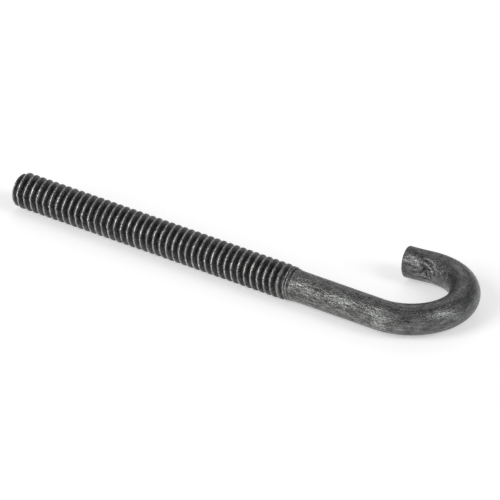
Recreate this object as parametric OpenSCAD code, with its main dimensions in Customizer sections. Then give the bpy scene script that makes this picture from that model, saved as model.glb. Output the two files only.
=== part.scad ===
// J-bolt: a round steel rod with a rolled thread at one end and a hook at the other. The thread is
// its cylinder over the crests, bevelled at the end and sloped where the crests fall to the rod.
// It lies on its side with its hook level. The origin is on the surface below the middle of its box,
// +X runs along the rod from the thread to the hook, and +Y points to the side that the hook turns to.

/* [Rod] */
// Diameter of the plain rod
rod_d = 5.2; // [4.8:0.05:5.8]
// Length from the threaded end to the inside of the bend
inside_length = 76.7; // [68:0.1:120]

/* [Hook] */
// Radius of the inside of the bend
bend_inside_r = 6.35; // [4:0.05:12]
// Angle that the rod is bent through, with 180 for a leg parallel to the rod
bend_angle = 189.5; // [180:0.5:200]
// Straight length of the leg beyond the bend
leg_length = 4.35; // [1:0.05:12]
// Radius of the rounded edge where the leg is cut off
leg_edge_r = 0.35; // [0.1:0.05:1]
// Depth to which the bending die has pressed the leg, all round
die_mark = 0.02; // [0.02:0.01:0.1]

/* [Thread] */
// Diameter over the crests of the thread
thread_d = 6; // [5.3:0.05:6.6]
// Length of the full thread from the end face
thread_length = 52.6; // [20:0.1:60]
// Length over which the thread fades into the rod
runout_length = 2; // [1:0.1:4]
// Diameter of the end face
tip_d = 5; // [4:0.05:5.6]
// Length of the bevel between the end face and the crests
tip_bevel = 0.7; // [0.2:0.05:1.5]

/* [Hidden] */
$fn = 96;

rod_r = rod_d / 2;
thread_r = thread_d / 2;
tip_r = tip_d / 2;

// the bend follows a circle of this radius at the middle of the rod
bend_r = bend_inside_r + rod_r;
// from the end face to the start of the bend
shank_length = inside_length - bend_inside_r;
leg_r = rod_r - die_mark;
// the leg reaches this far back into the bend, short enough to stay inside its curve
leg_root = 0.25;
runout_end = thread_length + runout_length;

// the box of the whole bolt, measured from the middle of the end face
widest_r = max(thread_r, rod_r);
reach_x = shank_length + bend_r + rod_r;
reach_y = 2 * bend_r + rod_r;

// Places what was made at the middle of the bend, turned to where the rod has bent through the given angle.
module at_bend(angle) {
    translate([shank_length, bend_r, 0])
        rotate([0, 0, angle - 90])
            children();
}

// The round section of the rod, at its distance from the middle of the bend.
module section() {
    translate([bend_r, 0])
        circle(r = rod_r);
}

// The threaded end: the bevel, the cylinder over the crests and the slope on which they fall to the rod.
module threaded_end() {
    rotate([90, 0, 90])
        rotate_extrude()
            polygon([
                [0, 0],
                [tip_r, 0],
                [thread_r, tip_bevel],
                [thread_r, thread_length],
                [rod_r, runout_end],
                [0, runout_end]
            ]);
}

// The plain rod, run back from the bend's first section to where the full thread ends.
module shank() {
    at_bend(0)
        rotate([90, 0, 0])
            linear_extrude(shank_length - thread_length)
                section();
}

// The hook's bend.
module bend() {
    at_bend(0)
        rotate_extrude(angle = bend_angle)
            section();
}

// The short straight leg, with the edge of its cut end rounded.
module leg() {
    at_bend(bend_angle)
        translate([bend_r, 0, 0])
            rotate([-90, 0, 0])
                rotate_extrude() {
                    translate([0, -leg_root])
                        square([leg_r, leg_root + leg_length - leg_edge_r]);
                    square([leg_r - leg_edge_r, leg_length]);
                    translate([leg_r - leg_edge_r, leg_length - leg_edge_r])
                        circle(r = leg_edge_r);
                }
}

module j_bolt() {
    color("dimgray")
        translate([-reach_x / 2, (widest_r - reach_y) / 2, widest_r]) {
            threaded_end();
            shank();
            bend();
            leg();
        }
}

j_bolt();
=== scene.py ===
import math

import bmesh
import bpy
import numpy as np
from mathutils import Matrix, Vector, noise


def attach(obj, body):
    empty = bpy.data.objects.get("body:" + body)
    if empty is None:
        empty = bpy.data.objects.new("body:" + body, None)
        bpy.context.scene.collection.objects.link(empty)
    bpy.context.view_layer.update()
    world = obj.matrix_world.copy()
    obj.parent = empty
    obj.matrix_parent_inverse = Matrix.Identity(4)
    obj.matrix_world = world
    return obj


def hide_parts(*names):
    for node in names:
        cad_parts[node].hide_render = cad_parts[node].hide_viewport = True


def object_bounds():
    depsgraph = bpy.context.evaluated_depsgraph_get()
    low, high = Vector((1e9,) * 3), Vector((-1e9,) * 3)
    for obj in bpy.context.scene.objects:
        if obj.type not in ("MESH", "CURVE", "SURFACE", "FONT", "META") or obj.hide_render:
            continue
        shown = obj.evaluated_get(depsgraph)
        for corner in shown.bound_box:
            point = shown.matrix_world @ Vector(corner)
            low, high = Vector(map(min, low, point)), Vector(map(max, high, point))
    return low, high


# A plain steel j-bolt with a rolled thread. Sizes are in millimetres up to the point where an object is made.
# A place on the bolt has a distance s along the middle of the rod, from the threaded end, an angle phi round
# it, from the side that the hook turns to (+Y) towards the top (+Z), and a distance r from the rod's middle.
MM = 0.001

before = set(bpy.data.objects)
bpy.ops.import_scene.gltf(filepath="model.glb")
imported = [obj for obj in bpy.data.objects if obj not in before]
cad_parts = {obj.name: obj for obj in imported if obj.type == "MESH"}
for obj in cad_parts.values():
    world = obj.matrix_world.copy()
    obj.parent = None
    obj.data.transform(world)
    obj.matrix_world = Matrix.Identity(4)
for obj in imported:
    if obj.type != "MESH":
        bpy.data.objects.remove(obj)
cad_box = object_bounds()

# The rod and its hook, as in the CAD part
ROD_R = 2.6
BEND_R = 8.95
BEND_ANGLE = math.radians(189.5)
SHANK = 70.35
LEG = 4.35
LEG_EDGE_R = 0.35
ARC_END = SHANK + BEND_R * BEND_ANGLE
ROD_END = ARC_END + LEG

# The sheared end: how much longer the leg is at its top, how far the metal is drawn up there and over what
# length, and what share of the rounded edge the top lacks
CUT_SLANT = 0.10
CUT_BURR = 0.07
CUT_REACH = 1.5
CUT_SHARPER = 0.75

# The thread, as in the CAD part
THREAD_R = 3.0
THREAD_LENGTH = 52.6
RUNOUT = 2.0
TIP_R = 2.5
TIP_BEVEL = 0.7

# The thread's groove, which only the visual model has, and where its middle first crosses the +Y side
PITCH = 1.27
CREST_FLAT = 0.19
ROOT_FLAT = 0.20
FLANK_ANGLE = math.radians(30)
FIRST_TURN = 0.18
CREST_ROUND = 0.05
ROOT_ROUND = 0.06
TIP_EDGE_R = 0.12

# Where the groove starts to grow shallow and where it is gone, with its bottom a little above the plain rod
FADE_START = 51.9
FADE_END = 54.9
FADE_ABOVE_ROD = 0.1

# Places along the thread with the radius of the crests there, and with the seam that rolling leaves in them
CREST_PLACES = (0, TIP_BEVEL, 52.2, 53.2, 54.0, 54.6, 55.0)
CREST_RADII = (TIP_R, THREAD_R, THREAD_R, 2.92, 2.74, 2.66, ROD_R)
SEAM_PLACES = (0, 36, 50, 52, 53.5)
SEAM_DEPTHS = (0.01, 0.02, 0.05, 0.10, 0.22)
SEAM_WIDTHS = (0.06, 0.06, 0.08, 0.12, 0.18)
THREAD_END = CREST_PLACES[-1]

# The small step sideways that every turn takes at one angle: places along the thread with its size there, the
# angle, and the angle over which the thread leans to it
JOG_PLACES = (0, 18, 28)
JOGS = (0.17, 0.17, 0.06)
JOG_ANGLE = math.radians(173)
JOG_RUN = math.radians(28)

# The grid of the mesh: columns round the rod, rows over half a turn of the thread, and rows elsewhere
COLUMNS = 90
ROWS_IN_HALF_TURN = (0, 0.09, 0.15, 0.32, 0.48, 0.525, 0.57, PITCH / 2)
ROW_STEP = 0.17
END_RINGS = 11
TIP_EDGE_ROWS = 5
LEG_EDGE_ROWS = 9
MERGED_WITHIN = 0.002

# Shallow waves and dents in the surface, which are half as deep on the thread
WAVE_SIZE = 2.2
WAVE_STRETCH = 2.5
WAVE_HEIGHT = 0.006
DENT_SIZE = 0.7
DENT_DEPTH = 0.06
DENT_START = 0.3
DENT_SEED = 40.0
THREAD_WEAR = 0.5

# How deep below the crests the thread's two flanks are rubbed bare and painted light as a highlight, and the
# side of the thread that has painted light on it, with its share
RUBBED_AND_LIT_TOWARDS_TIP = 0.42
RUBBED_AND_LIT_TOWARDS_HOOK = 0.12
PAINTED_LIGHT_SIDE = math.radians(210)
PAINTED_LIGHT_SIDE_SHARE = 0.08

# How bare the plain rod is along its length
BARE_PLACES = (55, 69, 76, 97, 101)
BARE_SHARES = (0.34, 0.32, 0.25, 0.25, 0.20)

# How flaky the scale is along the rod and round it
FLAKY_PLACES = (0, 53, 55, 69, 75, 82, 92, 97, 104)
FLAKY_SHARES = (0.5, 0.6, 1, 1, 0.6, 0.4, 0.4, 0.6, 0.6)
FLAKY_MIDDLE = 0.4
FLAKY_SWING = 0.8
FLAKY_LEAST = 0.25

# A scuff where the rod was held and pressed, and painted glints on the leg and the end of the bend: distance
# along it, degrees round it, length, width and strength
SCUFF_AND_PAINTED_GLINTS = (
    (71.4, 182, 2.4, 3.0, 1.0),
    (103.1, 44, 2.0, 1.6, 0.8),
    (101.8, 37, 1.8, 1.2, 0.6),
    (98.9, -20, 2.0, 1.4, 0.6),
    (93.8, -18, 2.2, 1.4, 0.6),
)
SCUFF_AND_GLINT_BORDER = 0.4

# The bending tool's marks on the leg: distance along the rod, degrees round it, length, width, degrees turned
# and depth
TOOL_MARKS = (
    (100.1, 26, 2.2, 0.32, 20, 0.17),
    (99.6, 46, 2.6, 0.26, 14, 0.13),
    (100.4, 12, 1.8, 0.34, -40, 0.20),
    (99.8, 4, 1.4, 0.28, 70, 0.16),
    (98.6, 30, 2.2, 0.26, 30, 0.13),
    (98.7, -8, 1.4, 0.26, 65, 0.15),
    (97.6, 10, 1.2, 0.24, 55, 0.13),
    (99.2, -22, 2.4, 0.28, 8, 0.14),
    (101.4, 0, 2.0, 0.28, -8, 0.12),
    (102.2, 36, 1.0, 0.24, 40, 0.09),
    (103.0, 46, 1.0, 0.24, -30, 0.09),
    (102.9, 20, 1.2, 0.24, 10, 0.08),
    (93.6, 38, 1.6, 0.28, 35, 0.09),
    (95.4, 30, 1.4, 0.26, -15, 0.10),
)

# The ridges beside the marks: how many times as wide as a mark, how high for its depth, and how much painted
# highlight they have. And how much painted shade a mark has for its depth
RIDGE_SPREAD = 2.0
RIDGE_SHARE = 0.35
RIDGE_PAINTED_HIGHLIGHT = 5.0
MARK_PAINTED_SHADE = 2.0

# How long the spots of two kinds of noise are across the rod, as shares of their length along it
DRAWN = 0.35
STREAKED = 0.2

# The steel's tones: its spots, its groove in painted shade and its crests, rubbed and in painted highlight,
# its pits, its scuff and painted glints, and its specks
SPOT_MIX = (0.7, 0.3)
SPOT_RANGE = (0.36, 0.64)
SPOT_TONES = (0.09, 0.21)
PAINTED_SHADE_TO_HIGHLIGHT_TONES = (0.43, 2.8)
PIT_RANGE = (0.60, 0.72)
PIT_TONES = (1.0, 0.35)
SCUFF_AND_GLINT_RANGE = (0.40, 0.60)
SCUFF_AND_GLINT_TONES = (0.02, 0.22)
TONE_MIDDLE = 0.84
SPECK_MIX = (0.4, 0.6)
SPECK_MIDDLE = 0.5
SPECK = 1.0
FLAKY_SPECK = 3.8

# The thin bright lines where a layer of scale ends
LAYERS = 11.0
LINE_MIDDLE = 0.5
LINE_START = 0.34
LINE_TONE = 0.9

# The green and blue shares of the tone, the blue for rod that is hardly flaky and very flaky
GREEN_SHARE = 1.02
FLAKY_RANGE = (0.3, 1.0)
BLUE_SHARES = (1.01, 0.985)

# How dull the steel is over its grain, and how much duller the groove and shinier the crests are
DULL_RANGE = (0.35, 0.65)
ROUGHNESSES = (0.38, 0.23)
BARE_ROUGHNESS = (1.15, 0.6)

# The heights of the finest relief
GRAIN_HEIGHT = 0.060
FLAKE_HEIGHT = 0.070
STREAK_HEIGHT = 0.045
LINE_HEIGHT = 0.03
PIT_DEPTHS = (0.0, 0.04)
PIT_SLOPE_RANGE = (0.58, 0.72)

# The camera, fitted to the outline: the way that it looks from, its lens, and how far it stands from the
# start of the bend, away from it and to the side
AZIMUTH = math.radians(33.0)
ELEVATION = math.radians(29.78)
ROLL = math.radians(1.4246)
FOCAL_PX = 19535.1
PICTURE_PX = 500
SENSOR = 36.0
DISTANCE = 3163.6
SHIFT_RIGHT = 20.9346
SHIFT_UP = -10.4155
NEAREST_SEEN = 100
FARTHEST_SEEN = 20000

# The floor's own colour, the glow that makes it white, and half its side
FLOOR_COLOUR = (0.8, 0.8, 0.8, 1)
FLOOR_GLOW = 0.42
FLOOR_HALF = 6000

# The studio: the world's grey, and soft lights with degrees to the right of the camera, degrees up, distance,
# width and height in metres, and radiance
WORLD_COLOUR = (0.28, 0.28, 0.28, 1)
LIGHTS = {
    "light_left": (-57, 33, 2.0, 1.1, 1.2, 4.7),
    "light_right": (60, 33, 2.0, 0.9, 1.1, 4.6),
    "light_back": (180, 40, 2.0, 1.2, 1.2, 0.9),
}

tip_place = Vector(cad_box[0]) / MM + Vector((0, THREAD_R, THREAD_R))


def smooth_min(a, b, width):
    """The smaller of two heights, with the corner between them rounded over a width."""
    mix = np.clip(0.5 + 0.5 * (b - a) / width, 0, 1)
    return b * (1 - mix) + a * mix - width * mix * (1 - mix)


def smooth_max(a, b, width):
    """The larger of two heights, with the corner between them rounded over a width."""
    return -smooth_min(-a, -b, width)


def from_angle(phi, degrees):
    """How far phi lies from an angle, the short way round the rod."""
    return (phi - math.radians(degrees) + math.pi) % (2 * math.pi) - math.pi


def near_cut(s):
    """0 away from the sheared end, growing to 1 at it."""
    return np.clip((s - ROD_END + CUT_REACH) / CUT_REACH, 0, 1)


def on_bolt(s, phi, r):
    """The points in space of places on the bolt."""
    s = s + near_cut(s) * CUT_SLANT * (0.5 + 0.5 * r / ROD_R * np.sin(phi))
    theta = np.clip((s - SHANK) / BEND_R, 0, BEND_ANGLE)
    beyond = np.maximum(s - ARC_END, 0)
    middle_x = np.minimum(s, SHANK) + BEND_R * np.sin(theta) + beyond * np.cos(theta)
    middle_y = BEND_R * (1 - np.cos(theta)) + beyond * np.sin(theta)
    side = r * np.cos(phi)
    return np.stack([
        middle_x - side * np.sin(theta) + tip_place.x,
        middle_y + side * np.cos(theta) + tip_place.y,
        r * np.sin(phi) + tip_place.z,
    ], axis=-1)


def roughly(s, phi, size, octaves, stretch=1.0, seed=0.0):
    """Noise of about -1 to 1 over the rod, with spots of a size that are drawn out along it by a stretch."""
    out = np.empty(s.size)
    x = s.ravel() / (size * stretch)
    y = ROD_R * np.cos(phi).ravel() / size
    z = ROD_R * np.sin(phi).ravel() / size + seed
    for i in range(s.size):
        out[i] = noise.fractal(Vector((x[i], y[i], z[i])), 1.0, 2.0, octaves)
    return out.reshape(s.shape)


def jog(s, phi):
    """How far the thread leans towards the tip, which grows up to one angle and is gone past it."""
    before = JOG_ANGLE - phi
    lean = np.interp(s, JOG_PLACES, JOGS) * np.clip(1 - before / JOG_RUN, 0, 1)
    return np.where(before >= 0, lean, 0)


def beside_groove(s, phi):
    """The way from the middle of the nearest groove, along the rod."""
    turn = (s + jog(s, phi) - FIRST_TURN) / PITCH - phi / (2 * math.pi)
    return (turn - np.round(turn)) * PITCH


def thread_radius(s, phi):
    """The thread's profile: a groove that fades out, and crests that sink to two thin lips and the rod."""
    groove_depth = (PITCH - CREST_FLAT - ROOT_FLAT) / 2 / math.tan(FLANK_ANGLE)
    root_r = THREAD_R - groove_depth
    beside = beside_groove(s, phi)
    from_groove = np.abs(beside)
    fade = np.clip((s - beside - FADE_START) / (FADE_END - FADE_START), 0, 1)
    bottom = root_r + fade * (ROD_R + FADE_ABOVE_ROD - root_r)
    flank = bottom + (from_groove - ROOT_FLAT / 2) / math.tan(FLANK_ANGLE)
    groove = smooth_max(flank, bottom, ROOT_ROUND)
    seam_width = np.interp(s, SEAM_PLACES, SEAM_WIDTHS)
    seam = np.interp(s, SEAM_PLACES, SEAM_DEPTHS) * np.exp(-((PITCH / 2 - from_groove) / seam_width) ** 2)
    crest = np.interp(s, CREST_PLACES, CREST_RADII)
    crest = np.maximum(crest - seam, np.minimum(crest, ROD_R))
    return smooth_min(groove, crest, CREST_ROUND)


def tool_marks(s, phi, spread=1.0):
    """The depth of the bending tool's marks, each a short groove, made wider by a spread."""
    depth = np.zeros_like(s)
    for at, angle, length, width, turned, deep in TOOL_MARKS:
        along = s - at
        across = ROD_R * from_angle(phi, angle)
        turn = math.radians(turned)
        u = along * math.cos(turn) + across * math.sin(turn)
        v = across * math.cos(turn) - along * math.sin(turn)
        depth = np.maximum(depth, deep * np.exp(-(v / width / spread) ** 2 - (2 * u / length) ** 4))
    return depth


def ridges(s, phi):
    """The low ridges of metal pushed up along both sides of those marks."""
    return tool_marks(s, phi, RIDGE_SPREAD) - tool_marks(s, phi)


def wear(s, phi):
    """How far the surface has sunk: waves and dents from rolling and bending, and the tool's marks."""
    waves = np.clip(roughly(s, phi, WAVE_SIZE, octaves=3, stretch=WAVE_STRETCH), -1, 1)
    dents = np.clip(roughly(s, phi, DENT_SIZE, octaves=2, seed=DENT_SEED) - DENT_START, 0, 1)
    depth = WAVE_HEIGHT + WAVE_HEIGHT * waves + DENT_DEPTH * dents
    depth = np.where(s < THREAD_LENGTH + RUNOUT, depth * THREAD_WEAR, depth)
    return depth + tool_marks(s, phi) - RIDGE_SHARE * ridges(s, phi)


def radius(s, phi):
    """The bolt's radius without its wear: the thread or the rod, less the rounded edges of both ends."""
    threaded = np.where(s < THREAD_END, thread_radius(np.minimum(s, THREAD_END), phi), ROD_R)
    top = np.clip(np.sin(phi), 0, 1)
    into_edge = np.clip((s - (ROD_END - LEG_EDGE_R)) / LEG_EDGE_R, 0, 1)
    leg_edge = LEG_EDGE_R * (1 - np.sqrt(1 - into_edge ** 2)) * (1 - CUT_SHARPER * top)
    burr = CUT_BURR * near_cut(s) ** 2 * top
    near_tip = np.clip((TIP_EDGE_R - s) / TIP_EDGE_R, 0, 1)
    tip_edge = TIP_EDGE_R * (1 - np.sqrt(1 - near_tip ** 2))
    return threaded - (leg_edge - burr) - tip_edge


def bareness_and_painted_light(s, phi, r):
    """How far the steel is rubbed clean, with painted light: 0 in the thread's groove, painted dark as shade,
    and 1 on its crests, painted light as a highlight.
    """
    crest = np.interp(s, CREST_PLACES, CREST_RADII)
    # The groove is painted dark as shade and the crests painted light as a highlight, deeper on the flank
    # towards the tip
    depth = np.where(beside_groove(s, phi) > 0, RUBBED_AND_LIT_TOWARDS_TIP, RUBBED_AND_LIT_TOWARDS_HOOK)
    on_crests = np.clip(1 - (crest - r) / depth, 0, 1)
    to_rod = np.interp(s, (FADE_START, THREAD_END), (1, BARE_SHARES[0]))
    # Painted light on the thread's lower side, away from the hook
    side = 0.5 + 0.5 * np.cos(phi - PAINTED_LIGHT_SIDE)
    on_thread = on_crests * to_rod + PAINTED_LIGHT_SIDE_SHARE * side
    on_rod = np.interp(s, BARE_PLACES, BARE_SHARES)
    # Painted shade in the tool marks and painted highlight on the ridges beside them
    on_rod = on_rod - MARK_PAINTED_SHADE * tool_marks(s, phi) + RIDGE_PAINTED_HIGHLIGHT * ridges(s, phi)
    return np.where(s < THREAD_END, on_thread, on_rod)


def flakiness(s, phi):
    """How flaky the scale is: most on the side away from the hook and the inner side of the leg."""
    bent = np.clip((s - SHANK) / BEND_R, 0, BEND_ANGLE)
    facing = np.clip(FLAKY_MIDDLE - FLAKY_SWING * np.cos(phi) * np.cos(bent), FLAKY_LEAST, 1)
    return facing * np.interp(s, FLAKY_PLACES, FLAKY_SHARES)


def scuff_and_glint_mask(s, phi):
    """The scuff and the painted glints: 1 in the brightest, 0 outside, with soft borders."""
    scuff_and_glint = np.zeros_like(s)
    for at, angle, length, width, strength in SCUFF_AND_PAINTED_GLINTS:
        along = np.clip((length / 2 - np.abs(s - at)) / SCUFF_AND_GLINT_BORDER, 0, 1)
        around = np.clip((width / 2 - ROD_R * np.abs(from_angle(phi, angle))) / SCUFF_AND_GLINT_BORDER, 0, 1)
        scuff_and_glint = np.maximum(scuff_and_glint, strength * along * around)
    return scuff_and_glint


def rings(places):
    """A grid with one closed ring of points at each of some places along the rod."""
    return np.outer(places, np.ones(COLUMNS + 1))


def thread_rows(phi):
    """A grid wound along the thread: each row stays at one place on its profile, from turn to turn."""
    half_turn = list(ROWS_IN_HALF_TURN)
    in_turn = half_turn + [PITCH - place for place in reversed(half_turn[1:-1])]
    turns = range(-2, math.ceil((THREAD_END - FIRST_TURN) / PITCH) + 1)
    rows = [FIRST_TURN + PITCH * turn + place for turn in turns for place in in_turn]
    s = np.array(rows)[:, None] + PITCH * np.arange(COLUMNS + 1) / COLUMNS
    return np.clip(s - jog(s, phi), TIP_EDGE_R, THREAD_END)


def grids(phi):
    """The grids that make the skin, from tip to leg, with the share of the radius that their points have."""
    quarter = math.pi / 2
    leg_edge = ROD_END - LEG_EDGE_R
    rod_rows = round((leg_edge - THREAD_END) / ROW_STEP)
    end_shares = np.linspace(0, 1, END_RINGS)
    yield rings(np.zeros(END_RINGS)), rings(end_shares)
    yield rings(TIP_EDGE_R * (1 - np.cos(np.linspace(0, quarter, TIP_EDGE_ROWS)))), 1
    yield thread_rows(phi), 1
    yield rings(np.linspace(THREAD_END, leg_edge, rod_rows)), 1
    yield rings(leg_edge + LEG_EDGE_R * np.sin(np.linspace(0, quarter, LEG_EDGE_ROWS))), 1
    yield rings(np.full(END_RINGS, ROD_END)), rings(end_shares[::-1])


def bolt_mesh():
    """The bolt's skin, with two attributes for its material: the place on the rod, and its surface there with
    its painted shade, highlights and glints.
    """
    columns = 2 * math.pi * np.arange(COLUMNS + 1) / COLUMNS
    points, faces, places, finishes_and_painted_light = [], [], [], []
    start = 0
    for s, share in grids(columns):
        phi = np.broadcast_to(columns, s.shape)
        r = (radius(s, phi) - wear(s, phi)) * share
        # Painted shade and highlights on the thread, painted light on one side of it, and painted glints go
        # into this
        finish_and_painted_light = [bareness_and_painted_light(s, phi, r), flakiness(s, phi), scuff_and_glint_mask(s, phi)]
        points.append(on_bolt(s, phi, r).reshape(-1, 3))
        places.append(np.stack([s, r * np.cos(phi), r * np.sin(phi)], axis=-1).reshape(-1, 3))
        finishes_and_painted_light.append(np.stack(finish_and_painted_light, axis=-1).reshape(-1, 3))
        rows, width = s.shape
        for row in range(rows - 1):
            corners = range(start + row * width, start + (row + 1) * width - 1)
            faces += [(a, a + width, a + width + 1, a + 1) for a in corners]
        start += s.size

    mesh = bpy.data.meshes.new("bolt")
    mesh.from_pydata((np.concatenate(points) * MM).tolist(), [], faces)
    for name, values in (("along_rod", places), ("finish_and_painted_light", finishes_and_painted_light)):
        attribute = mesh.attributes.new(name, "FLOAT_VECTOR", "POINT")
        attribute.data.foreach_set("vector", np.concatenate(values).ravel())
    return mesh


def close(mesh):
    """Joins the grids and the two ends of every ring into one closed skin, and says whether it is closed."""
    work = bmesh.new()
    work.from_mesh(mesh)
    bmesh.ops.remove_doubles(work, verts=work.verts, dist=MERGED_WITHIN * MM)
    bmesh.ops.dissolve_degenerate(work, edges=work.edges, dist=MERGED_WITHIN * MM)
    bmesh.ops.recalc_face_normals(work, faces=work.faces)
    work.to_mesh(mesh)
    open_edges = sum(1 for edge in work.edges if len(edge.link_faces) != 2)
    print("bolt: faces", len(work.faces), "open edges", open_edges)
    work.free()


class Shading:
    """A material whose nodes are added one at a time, each to the right of the one before."""

    def __init__(self, name):
        self.material = bpy.data.materials.new(name)
        self.material.use_nodes = True
        self.tree = self.material.node_tree
        self.tree.nodes.clear()

    def fill(self, socket, value):
        """Gives an input a number or a colour, or joins it to another node's output."""
        if isinstance(value, bpy.types.NodeSocket):
            self.tree.links.new(value, socket)
        else:
            socket.default_value = value

    def add(self, kind, **values):
        made = self.tree.nodes.new("ShaderNode" + kind)
        made.location.x = 200 * len(self.tree.nodes)
        for name, value in values.items():
            if name in made.inputs:
                self.fill(made.inputs[name], value)
            else:
                setattr(made, name, value)
        return made

    def maths(self, operation, a, b):
        made = self.add("Math", operation=operation)
        self.fill(made.inputs[0], a)
        self.fill(made.inputs[1], b)
        return made.outputs[0]

    def mix(self, a, b, shares):
        return self.maths("ADD", self.maths("MULTIPLY", a, shares[0]), self.maths("MULTIPLY", b, shares[1]))

    def spread(self, value, low_high, results):
        """Turns the range from low to high into the range between two results."""
        made = self.add("MapRange", Value=value)
        for name, number in zip(("From Min", "From Max", "To Min", "To Max"), low_high + results):
            made.inputs[name].default_value = number
        return made.outputs["Result"]

    def shrunk(self, place, along_rod):
        return self.add("Mapping", Vector=place, Scale=(along_rod, 1, 1)).outputs["Vector"]

    def noise(self, place, **values):
        return self.add("TexNoise", noise_type="FBM", Vector=place, **values).outputs["Fac"]


def steel():
    """Dark, dry steel: mill scale with pits and rubbed spots, drawn out along the rod, with painted shade
    that makes it black in grooves and painted highlights and glints.
    """
    nodes = Shading("dark_steel")
    place = nodes.add("Attribute", attribute_name="along_rod").outputs["Vector"]
    finish_and_painted_light = nodes.add("Attribute", attribute_name="finish_and_painted_light").outputs["Vector"]
    bare_and_lit, flaky, scuff_and_glint = nodes.add("SeparateXYZ", Vector=finish_and_painted_light).outputs
    drawn = nodes.shrunk(place, DRAWN)
    streaked = nodes.shrunk(place, STREAKED)

    grain = nodes.noise(place, Scale=3.6, Detail=3.0, Roughness=0.7)
    streaks = nodes.noise(streaked, Scale=3.2, Detail=3.0, Roughness=0.65)
    flakes = nodes.noise(drawn, Scale=1.7, Detail=5.0, Roughness=0.62, Distortion=0.8)
    patches = nodes.noise(place, Scale=0.35, Detail=3.0, Roughness=0.6)
    pits = nodes.noise(drawn, Scale=3.6, Detail=2.0, Roughness=0.5)
    layers = nodes.noise(streaked, Scale=1.1, Detail=2.5, Roughness=0.55, Distortion=1.2)
    lines = nodes.maths("PINGPONG", nodes.maths("MULTIPLY", layers, LAYERS), LINE_MIDDLE)
    lines = nodes.spread(lines, (LINE_START, LINE_MIDDLE), (0.0, 1.0))
    lines = nodes.maths("MULTIPLY", lines, nodes.maths("MULTIPLY", flaky, LINE_TONE))

    tone = steel_tone(nodes, grain, streaks, flakes, patches, flaky, lines)
    # Painted shade in the thread's groove and painted highlight on its crests; on the plain rod, its tone
    # along its length
    tone = nodes.maths("MULTIPLY", tone, nodes.spread(bare_and_lit, (0.0, 1.0), PAINTED_SHADE_TO_HIGHLIGHT_TONES))
    tone = nodes.maths("MULTIPLY", tone, nodes.spread(pits, PIT_RANGE, PIT_TONES))
    # The scuff, and painted glints on the leg and the bend
    scuff_and_glint_tone = nodes.maths("MULTIPLY", scuff_and_glint, nodes.spread(grain, SCUFF_AND_GLINT_RANGE, SCUFF_AND_GLINT_TONES))
    tone = nodes.maths("ADD", tone, scuff_and_glint_tone)
    green = nodes.maths("MULTIPLY", tone, GREEN_SHARE)
    blue = nodes.maths("MULTIPLY", tone, nodes.spread(flaky, FLAKY_RANGE, BLUE_SHARES))
    colour = nodes.add("CombineColor", Red=tone, Green=green, Blue=blue).outputs["Color"]

    dull = nodes.spread(grain, DULL_RANGE, ROUGHNESSES)
    roughness = nodes.maths("MULTIPLY", dull, nodes.spread(bare_and_lit, (0.0, 1.0), BARE_ROUGHNESS))
    normal = steel_relief(nodes, grain, streaks, flakes, pits, lines)
    shader = nodes.add("BsdfPrincipled", Metallic=1.0, Roughness=roughness, Normal=normal)
    nodes.fill(shader.inputs["Base Color"], colour)
    nodes.add("OutputMaterial", Surface=shader.outputs["BSDF"])
    return nodes.material


def steel_tone(nodes, grain, streaks, flakes, patches, flaky, lines):
    """Large and small spots, specks that are strong on flaky scale, and the thin lines of its layers."""
    spots = nodes.mix(flakes, patches, SPOT_MIX)
    fine = nodes.mix(grain, streaks, SPECK_MIX)
    strength = nodes.maths("ADD", nodes.maths("MULTIPLY", flaky, FLAKY_SPECK), SPECK)
    speck = nodes.maths("MULTIPLY", nodes.maths("SUBTRACT", fine, SPECK_MIDDLE), strength)
    variation = nodes.maths("ADD", nodes.maths("ADD", speck, lines), TONE_MIDDLE)
    return nodes.maths("MULTIPLY", nodes.spread(spots, SPOT_RANGE, SPOT_TONES), variation)


def steel_relief(nodes, grain, streaks, flakes, pits, lines):
    """The finest relief, too small for the mesh."""
    height = nodes.maths("MULTIPLY", grain, GRAIN_HEIGHT)
    for part, tall in ((flakes, FLAKE_HEIGHT), (streaks, STREAK_HEIGHT), (lines, LINE_HEIGHT)):
        height = nodes.maths("ADD", height, nodes.maths("MULTIPLY", part, tall))
    height = nodes.maths("SUBTRACT", height, nodes.spread(pits, PIT_SLOPE_RANGE, PIT_DEPTHS))
    return nodes.add("Bump", Strength=1.0, Distance=MM, Height=height).outputs["Normal"]


def bolt():
    """The bolt, which stands for the whole CAD part."""
    mesh = bolt_mesh()
    close(mesh)
    mesh.shade_smooth()
    made = bpy.data.objects.new("bolt", mesh)
    bpy.context.collection.objects.link(made)
    made.data.materials.append(steel())
    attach(made, "root")
    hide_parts("j_bolt")


def white_paint():
    """A pale colour that keeps the shadow, with a glow that makes it white when seen and in reflections."""
    nodes = Shading("floor")
    rays = nodes.add("LightPath").outputs
    seen = nodes.maths("MAXIMUM", rays["Is Camera Ray"], rays["Is Glossy Ray"])
    seen = nodes.maths("MAXIMUM", seen, rays["Is Transmission Ray"])
    glow = nodes.add("Emission", Strength=nodes.maths("MULTIPLY", seen, FLOOR_GLOW))
    pale = nodes.add("BsdfDiffuse", Color=FLOOR_COLOUR)
    both = nodes.add("AddShader")
    nodes.fill(both.inputs[0], pale.outputs["BSDF"])
    nodes.fill(both.inputs[1], glow.outputs["Emission"])
    nodes.add("OutputMaterial", Surface=both.outputs["Shader"])
    return nodes.material


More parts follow.
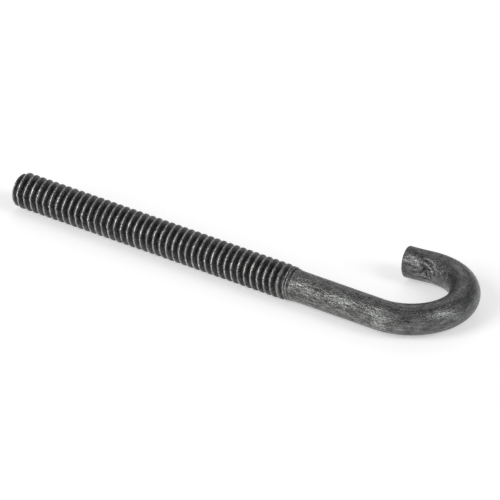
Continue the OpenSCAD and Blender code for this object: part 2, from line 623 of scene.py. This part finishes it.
def floor():
    half = FLOOR_HALF * MM
    corners = [(-half, -half, 0), (half, -half, 0), (half, half, 0), (-half, half, 0)]
    mesh = bpy.data.meshes.new("floor")
    mesh.from_pydata(corners, [], [(0, 1, 2, 3)])
    made = bpy.data.objects.new("floor", mesh)
    made.data.materials.append(white_paint())
    bpy.context.collection.objects.link(made)


def direction(azimuth, elevation):
    """The way from the bolt to something that stands at an azimuth and an elevation."""
    return Vector((math.sin(azimuth) * math.cos(elevation), -math.cos(azimuth) * math.cos(elevation),
                   math.sin(elevation)))


def camera():
    """The camera, at the photo's viewing angle."""
    back = direction(AZIMUTH, ELEVATION)
    level = Vector((math.cos(AZIMUTH), math.sin(AZIMUTH), 0))
    above = back.cross(level)
    right = math.cos(ROLL) * level + math.sin(ROLL) * above
    up = -math.sin(ROLL) * level + math.cos(ROLL) * above
    bend_start = tip_place + Vector((SHANK, 0, 0))
    place = bend_start + back * DISTANCE - right * SHIFT_RIGHT - up * SHIFT_UP
    data = bpy.data.cameras.new("camera")
    data.sensor_width = SENSOR
    data.lens = FOCAL_PX * SENSOR / PICTURE_PX
    data.clip_start = NEAREST_SEEN * MM
    data.clip_end = FARTHEST_SEEN * MM
    made = bpy.data.objects.new("camera", data)
    turn = Matrix((right, up, back)).transposed().to_4x4()
    made.matrix_world = Matrix.Translation(place * MM) @ turn
    bpy.context.collection.objects.link(made)
    bpy.context.scene.camera = made


def softbox(name, around, height, distance, width, tall, radiance):
    """A flat soft light that faces the bolt."""
    way = direction(AZIMUTH + math.radians(around), math.radians(height))
    data = bpy.data.lights.new(name, "AREA")
    data.shape = "RECTANGLE"
    data.size = width
    data.size_y = tall
    data.energy = radiance * math.pi * width * tall
    made = bpy.data.objects.new(name, data)
    made.location = way * distance
    made.rotation_euler = way.to_track_quat("Z", "Y").to_euler()
    bpy.context.collection.objects.link(made)


def studio():
    """A grey world and the soft lights."""
    world = bpy.data.worlds.new("world")
    bpy.context.scene.world = world
    world.use_nodes = True
    background = world.node_tree.nodes["Background"]
    background.inputs["Color"].default_value = WORLD_COLOUR
    background.inputs["Strength"].default_value = 1.0
    for name, settings in LIGHTS.items():
        softbox(name, *settings)


bolt()
floor()
camera()
studio()
bpy.context.scene.view_settings.view_transform = "Standard"
